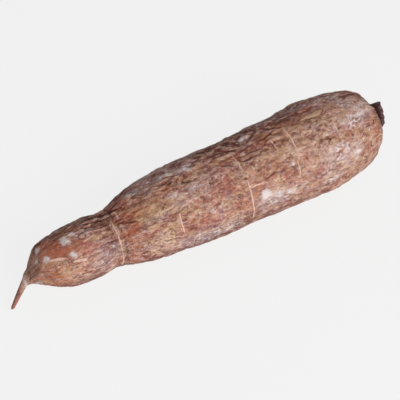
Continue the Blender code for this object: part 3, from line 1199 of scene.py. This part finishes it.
# Layers of the bark's colour from the lowest up, as (tint, map, value where bare, value where full, the
# most it covers, the mask that it keeps to). The neck's layers lie on its own dark bark, over the body's.
BARK_LAYERS = (
    ("brown", "patches", 0.38, 0.62, 0.8),
    ("amber", "patches", 0.56, 0.68, 0.5),
    ("olive", "olives", 0.47, 0.60, 0.9),
    ("rose", "roses", 0.50, 0.62, 0.8),
    ("haze", "roses", 0.44, 0.34, 0.6),
    ("pale", "blotches", 0.53, 0.65, 0.5),
    ("olive", "blotches", 0.30, 0.62, 0.8, "olive"),
    ("rose", "film", 0.30, 0.58, 0.9, "rose"),
    ("amber", "film", 0.26, 0.58, 0.9, "amber"),
    ("pale", "film", 0.34, 0.60, 0.8, "pale"),
    ("rust", "olives", 0.28, 0.56, 0.95, "rust"),
    ("plum", "roses", 0.30, 0.60, 0.85, "plum"),
    ("plum", "film", 0.55, 0.66, 0.6),
    # Stained by the soil mask, which also holds painted shade along the upper and lower edges.
    ("soil_and_shade", "blotches", 0.88, 0.44, 0.9, "soil_and_shade"),
    ("soil_and_shade", "blotches", 0.45, 0.33, 0.55),
    ("soil_and_shade", "crumple", 0.44, 0.30, 0.85, "busy"),
    ("pale", "crumple", 0.54, 0.70, 0.65, "busy"),
    ("soil_and_shade", "fibres", 0.43, 0.29, 0.7, "busy"),
    ("pale", "fibres", 0.56, 0.72, 0.45, "busy"),
    ("soil_and_shade", "threads", 0.42, 0.28, 0.35),
    ("pale", "threads", 0.58, 0.72, 0.4),
    ("rose", "sleek", 0.2, 0.95, 0.35),
    # Soil and painted shade in the hollows, and a painted highlight on the rises.
    ("soil_and_shade", "relief_soil_and_shading", 0.52, 1.0, 0.7),
    ("pale", "relief_soil_and_shading", 0.46, 0.05, 0.4),
    # Painted shadow: a thin dark line along each flake's edge.
    ("soil_and_shade", "flake_line", 0.0, 1.0, 0.55, "busy"),
    ("crack", "fold_line", 0.0, 1.0, 0.75),
    ("haze", "film", 0.38, 0.60, 0.6, "frost"),
    ("chalk", "specks", 0.63, 0.73, 0.5),
    ("chalk", "crumple", 0.53, 0.65, 0.7, "frost"),
    ("chalk", "fibres", 0.55, 0.63, 0.8, "frost"),
    ("crack", "crack_line", 0.0, 1.0, 0.8),
    ("scar", "scar_line", 0.0, 1.0, 0.85),
    ("chalk", "specks", 0.42, 0.60, 0.7, "scuff"),
    ("chalk", "scuff", 0.25, 0.95, 0.8),
)
NECK_LAYERS = (
    ("plum", "fibres", 0.48, 0.62, 0.8, "neck"),
    ("scar", "fibres", 0.58, 0.70, 0.6, "neck"),
    ("crack", "crumple", 0.50, 0.38, 0.8, "neck"),
    ("crack", "groove", 0.15, 0.65, 0.97),
)

# How much each pattern raises the bark, or lowers it, in the fine bump.
BARK_BUMPS = (
    ("fibres", 0.5),
    ("flake_line", -0.35),
    ("specks", 0.35),
    ("threads", 0.2),
    ("crack_line", -0.6),
)

# Layers of the cut wood, as the bark's: fibres, the pith in its middle and the cortex at its edge.
WOOD_FIBRE = 1.1 * MM
WOOD_LAYERS = (
    ("core", "fibres", 0.50, 0.66, 0.7),
    ("core", "radius", 2.6 * MM, 1.4 * MM, 0.85),
    ("cork", "radius", 6.8 * MM, 8.2 * MM, 0.9),
)

# The floor gives off nearly all of its own light, so that the root's shadow stays faint.
FLOOR_GREY = 0.10
FLOOR_GLOW = 0.925


def rgba(colour_value):
    return (*colour_value, 1)


def new_material(name):
    material = bpy.data.materials.new(name)
    material.use_nodes = True
    return material, material.node_tree, material.node_tree.nodes["Principled BSDF"]


def skin_pattern(tree, skin, long_mm, wide_mm, detail, seed, roughness, curl):
    """Noise on the skin's own coordinates, with features this long along the root and this wide round it."""
    scale = (1 / (long_mm * MM), 1 / (wide_mm * MM), 1 / (wide_mm * MM))
    shift = (seed, 1.7 * seed, -seed)
    place = add_node(tree, "ShaderNodeMapping", {}, {"Vector": skin, "Scale": scale, "Location": shift})
    values = {"Vector": place.outputs[0], "Scale": 1.0, "Detail": detail}
    values.update({"Roughness": roughness, "Distortion": curl})
    return add_node(tree, "ShaderNodeTexNoise", {}, values).outputs["Fac"]


def cover(tree, pattern, bare, full, most=1.0, where=None):
    """How much a layer covers: nothing where the pattern is at bare, most where it is at full."""
    values = {"Value": pattern, "From Min": bare, "From Max": full, "To Min": 0.0, "To Max": most}
    amount = add_node(tree, "ShaderNodeMapRange", {"interpolation_type": "SMOOTHSTEP"}, values).outputs[0]
    if where is None:
        return amount
    return add_node(tree, "ShaderNodeMath", {"operation": "MULTIPLY"}, {0: amount, 1: where}).outputs[0]


def near_line(tree, distance, half_width):
    """1 on a line whose signed distance this is, 0 from its half width on."""
    size = add_node(tree, "ShaderNodeMath", {"operation": "ABSOLUTE"}, {0: distance}).outputs[0]
    return cover(tree, size, half_width, 0.3 * half_width)


def lay_over(tree, below, colours, layers, maps):
    """Lays each layer over the colour below."""
    for tint, name, bare, full, most, *masks in layers:
        amount = cover(tree, maps[name], bare, full, most, *(maps[mask] for mask in masks))
        values = {0: amount, 6: below, 7: rgba(getattr(colours, tint))}
        below = add_node(tree, "ShaderNodeMix", {"data_type": "RGBA"}, values).outputs[2]
    return below


def split(tree, name):
    """The four shares that the skin carries in one colour attribute."""
    attribute = add_node(tree, "ShaderNodeAttribute", {"attribute_name": name}).outputs
    shares = add_node(tree, "ShaderNodeSeparateColor", {}, {"Color": attribute["Color"]}).outputs
    return shares[0], shares[1], shares[2], attribute["Alpha"]


def cassava_bark(colours):
    """Cassava bark, grown and air-dried: thin, matt, papery cork that flakes off rust-brown skin."""
    material, tree, shader = new_material("cassava_bark")
    skin = add_node(tree, "ShaderNodeAttribute", {"attribute_name": "spread"}).outputs["Vector"]
    lines = add_node(tree, "ShaderNodeAttribute", {"attribute_name": "lines"}).outputs["Vector"]
    scar_away, crack_away, fold = add_node(tree, "ShaderNodeSeparateXYZ", {}, {0: lines}).outputs
    maps = {name: skin_pattern(tree, skin, *values) for name, values in PATTERNS.items()}
    for name, kinds in MASKS.items():
        maps.update(zip(kinds, split(tree, name)))

    # The fine contrast is strongest on weathered bark, and weakest where the bark is rubbed smooth.
    wear = {"Value": maps["weathering"], "From Min": 0.38, "From Max": 0.60, "To Min": 0.6, "To Max": 1.2}
    worn = add_node(tree, "ShaderNodeMapRange", {}, wear).outputs[0]
    maps["busy"] = cover(tree, maps["sleek"], 1.2, 0.0, 1.0, worn)
    from_edge = add_node(tree, "ShaderNodeMath", {"operation": "SUBTRACT"}, {0: maps["flakes"], 1: 0.5})
    maps["flake_line"] = near_line(tree, from_edge.outputs[0], FLAKE_LINE)
    maps["fold_line"] = cover(tree, near_line(tree, fold, FOLD_LINE), 0, 1, 1.0, maps["opened"])
    maps["scar_line"] = cover(tree, near_line(tree, scar_away, SCAR_LINE), 0, 1, 1.0, maps["scar"])
    maps["crack_line"] = cover(tree, near_line(tree, crack_away, CRACK_LINE), 0, 1, 1.0, maps["crack"])

    body = lay_over(tree, rgba(colours.tan), colours, BARK_LAYERS, maps)
    neck_values = {0: maps["neck"], 6: body, 7: rgba(colours.cork)}
    whole = add_node(tree, "ShaderNodeMix", {"data_type": "RGBA"}, neck_values).outputs[2]
    tree.links.new(lay_over(tree, whole, colours, NECK_LAYERS, maps), shader.inputs["Base Color"])

    sheen = {"Value": maps["film"], "From Min": 0.3, "From Max": 0.7, "To Min": 0.58, "To Max": 0.82}
    roughness = add_node(tree, "ShaderNodeMapRange", {}, sheen).outputs[0]
    tree.links.new(roughness, shader.inputs["Roughness"])
    shader.inputs["Specular IOR Level"].default_value = 0.4
    height = 0.0
    for name, weight in BARK_BUMPS:
        values = {0: maps[name], 1: weight, 2: height}
        height = add_node(tree, "ShaderNodeMath", {"operation": "MULTIPLY_ADD"}, values).outputs[0]
    bump = add_node(tree, "ShaderNodeBump", {}, {"Height": height, "Strength": 0.7, "Distance": 0.6 * MM})
    tree.links.new(bump.outputs["Normal"], shader.inputs["Normal"])
    return material


def cut_wood(colours, face):
    """Stem wood, cut and dried: pale and fibrous, with a darker pith and a dark ring of cortex."""
    material, tree, shader = new_material("cut_stem_wood")
    place = add_node(tree, "ShaderNodeTexCoord").outputs["Object"]
    centred = add_node(tree, "ShaderNodeVectorMath", {"operation": "SUBTRACT"}, {0: place, 1: tuple(face)})
    reach = add_node(tree, "ShaderNodeVectorMath", {"operation": "LENGTH"}, {0: centred.outputs[0]})
    fibre_values = {"Vector": place, "Scale": 1 / WOOD_FIBRE, "Detail": 4.0}
    fibres = add_node(tree, "ShaderNodeTexNoise", {}, fibre_values).outputs["Fac"]
    maps = {"fibres": fibres, "radius": reach.outputs["Value"]}
    wood = lay_over(tree, rgba(colours.wood), colours, WOOD_LAYERS, maps)
    tree.links.new(wood, shader.inputs["Base Color"])
    shader.inputs["Roughness"].default_value = 0.85
    bump = add_node(tree, "ShaderNodeBump", {}, {"Height": fibres, "Strength": 0.8, "Distance": 0.5 * MM})
    tree.links.new(bump.outputs["Normal"], shader.inputs["Normal"])
    return material


def studio_floor(colours):
    """Frosted acrylic sheet, lit from below as on a product table, so that shadows on it stay faint."""
    material, _, shader = new_material("frosted_acrylic")
    shader.inputs["Base Color"].default_value = rgba([FLOOR_GREY] * 3)
    shader.inputs["Roughness"].default_value = 0.9
    shader.inputs["Specular IOR Level"].default_value = 0.0
    shader.inputs["Emission Color"].default_value = rgba(colours.floor)
    shader.inputs["Emission Strength"].default_value = FLOOR_GLOW
    return material


# ---- Operators ----

# The floor, in metres and so wide that its edge is never in view, how far under the root it lies, and the
# camera's sensor in mm.
FLOOR_SIZE = 80
FLOOR_GAP = 0.2 * MM
SENSOR_WIDTH = 36


class CassavaRootOperator(bpy.types.Operator):
    """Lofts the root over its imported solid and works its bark"""

    bl_idname = "cassava.root"
    bl_label = "Build the root"
    bl_options = {"REGISTER", "UNDO"}

    def execute(self, context):
        settings = context.scene.cassava_skin
        colours = context.scene.cassava_bark
        solid = merged_solid()
        places = ring_places(solid, settings)
        face, heading = cut_face(solid)
        skin = loft(places, settings.sides)
        write_places(skin, places, settings.sides)
        apply_modifier(skin, "SHRINKWRAP", target=solid, offset=SKIN_GAP)
        apply_modifier(skin, "SUBSURF", levels=SMOOTH_LEVELS, render_levels=SMOOTH_LEVELS)
        bpy.data.objects.remove(solid)

        skin.data.materials.append(cassava_bark(colours))
        leaned_face = lean_neck(np.array([face]), np.zeros(1), face, heading)[0]
        skin.data.materials.append(cut_wood(colours, leaned_face))
        mark_cut_face(skin, face, heading)
        work_skin(skin, settings, face, heading)
        make_active(skin)
        bpy.ops.object.shade_smooth()
        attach(skin, "root")
        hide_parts(NODE)
        return {"FINISHED"}


def outward(turn, rise):
    """The direction away from the root at a turn round it and a rise over the floor."""
    return Vector((math.sin(turn) * math.cos(rise), -math.cos(turn) * math.cos(rise), math.sin(rise)))


def add_softbox(settings, name, target):
    """A square area light with the settings of this name, aimed at the root."""
    turn, rise, distance, size, power = (
        getattr(settings, f"{name}_{setting}") for setting in ("turn", "rise", "distance", "size", "power")
    )
    away = outward(turn, rise)
    bpy.ops.object.light_add(type="AREA", location=target + away * distance)
    light = bpy.context.object
    light.name = f"{name}_softbox"
    light.rotation_euler = away.to_track_quat("Z", "Y").to_euler()
    light.data.size = size
    light.data.energy = power


def add_camera(settings, target):
    """A camera that looks at the root, a little off its middle."""
    away = outward(settings.camera_turn, settings.camera_rise)
    right = Vector((math.cos(settings.camera_turn), math.sin(settings.camera_turn), 0))
    aim = target + right * settings.aim_across + away.cross(right) * settings.aim_up
    bpy.ops.object.camera_add(location=aim + away * settings.camera_distance)
    camera = bpy.context.object
    camera.rotation_euler = away.to_track_quat("Z", "Y").to_euler()
    camera.data.lens = settings.camera_lens
    camera.data.sensor_width = SENSOR_WIDTH
    return camera


class CassavaStageOperator(bpy.types.Operator):
    """Adds the floor, the lights and the camera"""

    bl_idname = "cassava.stage"
    bl_label = "Build the stage"
    bl_options = {"REGISTER", "UNDO"}

    def execute(self, context):
        settings = context.scene.cassava_stage
        low, high = (Vector(corner) for corner in CAD_BOX)
        target = (low + high) / 2
        deselect_all()
        bpy.ops.mesh.primitive_plane_add(size=FLOOR_SIZE, location=(0, 0, low.z - FLOOR_GAP))
        floor = bpy.context.object
        floor.name = "studio_floor"
        floor.data.materials.append(studio_floor(settings))

        add_softbox(settings, "key", target)
        add_softbox(settings, "fill", target)
        world = context.scene.world or bpy.data.worlds.new("studio_room")
        context.scene.world = world
        world.use_nodes = True
        background = world.node_tree.nodes["Background"]
        background.inputs["Color"].default_value = (1, 1, 1, 1)
        background.inputs["Strength"].default_value = settings.room_light

        bpy.context.scene.camera = add_camera(settings, target)
        context.scene.view_settings.view_transform = "Standard"
        return {"FINISHED"}


class CassavaPanel(bpy.types.Panel):
    """Lists the steps that build the root, with their settings"""

    bl_idname = "VIEW3D_PT_cassava"
    bl_label = "Cassava root"
    bl_space_type = "VIEW_3D"
    bl_region_type = "UI"
    bl_category = "Cassava"

    def draw(self, context):
        groups = (
            (CassavaRootOperator, context.scene.cassava_skin),
            (None, context.scene.cassava_bark),
            (CassavaStageOperator, context.scene.cassava_stage),
        )
        for operator, settings in groups:
            box = self.layout.box()
            if operator:
                box.operator(operator.bl_idname)
            for name in settings.__annotations__:
                box.prop(settings, name)


CLASSES = (
    CassavaSkinSettings,
    CassavaBarkSettings,
    CassavaStageSettings,
    CassavaRootOperator,
    CassavaStageOperator,
    CassavaPanel,
)


def register():
    for cls in CLASSES:
        bpy.utils.register_class(cls)
    bpy.types.Scene.cassava_skin = PointerProperty(type=CassavaSkinSettings)
    bpy.types.Scene.cassava_bark = PointerProperty(type=CassavaBarkSettings)
    bpy.types.Scene.cassava_stage = PointerProperty(type=CassavaStageSettings)


def unregister():
    for name in ("cassava_skin", "cassava_bark", "cassava_stage"):
        delattr(bpy.types.Scene, name)
    for cls in reversed(CLASSES):
        bpy.utils.unregister_class(cls)


def main():
    register()
    bpy.ops.cassava.root()
    bpy.ops.cassava.stage()


if __name__ == "__main__":
    main()
